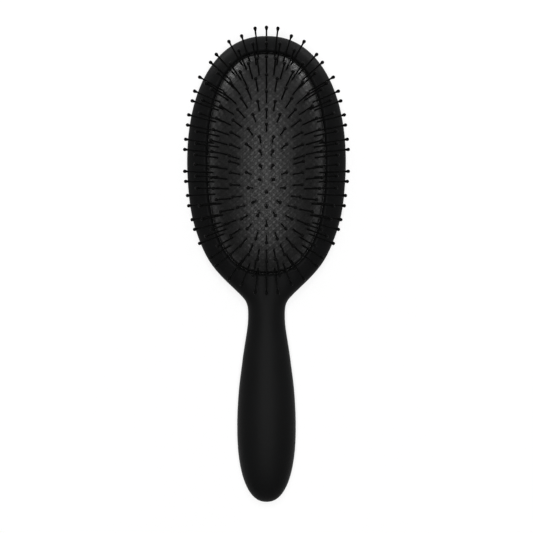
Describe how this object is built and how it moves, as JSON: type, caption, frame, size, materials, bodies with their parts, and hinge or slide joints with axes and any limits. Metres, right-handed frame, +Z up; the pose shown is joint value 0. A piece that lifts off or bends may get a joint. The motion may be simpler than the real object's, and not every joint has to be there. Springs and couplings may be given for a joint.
{
  "type": "detangling brush",
  "caption": "Oval air-cushion detangling hairbrush with slim ball-tipped pins on a sprung domed pad and a tapered, rounded handle.",
  "frame": {"origin": "centre of the flat land under the head, on the surface that the brush lies on", "axes": "+Z up, the way the pins point; +Y towards the head's crown, so the handle lies along -Y; +X across the head"},
  "size_m": [0.0772, 0.2239, 0.0438],
  "materials": {
    "body": "soft-touch matte",
    "ring": "moulded matte",
    "rubber": "matte",
    "cloth": "fine weave",
    "backing": "plain",
    "pins": "satin nylon",
    "tips": "smooth resin"
  },
  "bodies": {
    "brush": {"back_shell": "body", "front_shell": "body", "cushion_ring": "ring", "cushion": "rubber", "cushion_facing": "cloth", "pin_backing": "backing"},
    "ring_1": {"pins_ring_1": "pins", "tips_ring_1": "tips"},
    "ring_2": {"pins_ring_2": "pins", "tips_ring_2": "tips"},
    "ring_3": {"pins_ring_3": "pins", "tips_ring_3": "tips"},
    "ring_4": {"pins_ring_4": "pins", "tips_ring_4": "tips"},
    "ring_5": {"pins_ring_5": "pins", "tips_ring_5": "tips"},
    "ring_6": {"pins_ring_6": "pins", "tips_ring_6": "tips"},
    "ring_7": {"pins_ring_7": "pins", "tips_ring_7": "tips"},
    "ring_8": {"pins_ring_8": "pins", "tips_ring_8": "tips"}
  },
  "joints": [
    {"name": "ring_1_press", "type": "slide", "parent": "brush", "child": "ring_1", "axis": [0, 0, -1], "range_m": [0, 0.005], "stiffness_N_per_m": 400, "deforming": ["cushion", "cushion_facing", "pin_backing"]},
    {"name": "ring_2_press", "type": "slide", "parent": "brush", "child": "ring_2", "axis": [0, 0, -1], "range_m": [0, 0.00458], "stiffness_N_per_m": 400},
    {"name": "ring_3_press", "type": "slide", "parent": "brush", "child": "ring_3", "axis": [0, 0, -1], "range_m": [0, 0.00417], "stiffness_N_per_m": 400},
    {"name": "ring_4_press", "type": "slide", "parent": "brush", "child": "ring_4", "axis": [0, 0, -1], "range_m": [0, 0.00379], "stiffness_N_per_m": 400},
    {"name": "ring_5_press", "type": "slide", "parent": "brush", "child": "ring_5", "axis": [0, 0, -1], "range_m": [0, 0.00327], "stiffness_N_per_m": 400},
    {"name": "ring_6_press", "type": "slide", "parent": "brush", "child": "ring_6", "axis": [0, 0, -1], "range_m": [0, 0.00283], "stiffness_N_per_m": 400},
    {"name": "ring_7_press", "type": "slide", "parent": "brush", "child": "ring_7", "axis": [0, 0, -1], "range_m": [0, 0.00215], "stiffness_N_per_m": 400},
    {"name": "ring_8_press", "type": "slide", "parent": "brush", "child": "ring_8", "axis": [0, 0, -1], "range_m": [0, 0.00163], "stiffness_N_per_m": 400}
  ],
  "couplings": [
    {"joint": "ring_2_press", "follows": "ring_1_press", "ratio": 0.917},
    {"joint": "ring_3_press", "follows": "ring_1_press", "ratio": 0.835},
    {"joint": "ring_4_press", "follows": "ring_1_press", "ratio": 0.758},
    {"joint": "ring_5_press", "follows": "ring_1_press", "ratio": 0.653},
    {"joint": "ring_6_press", "follows": "ring_1_press", "ratio": 0.566},
    {"joint": "ring_7_press", "follows": "ring_1_press", "ratio": 0.43},
    {"joint": "ring_8_press", "follows": "ring_1_press", "ratio": 0.327}
  ]
}
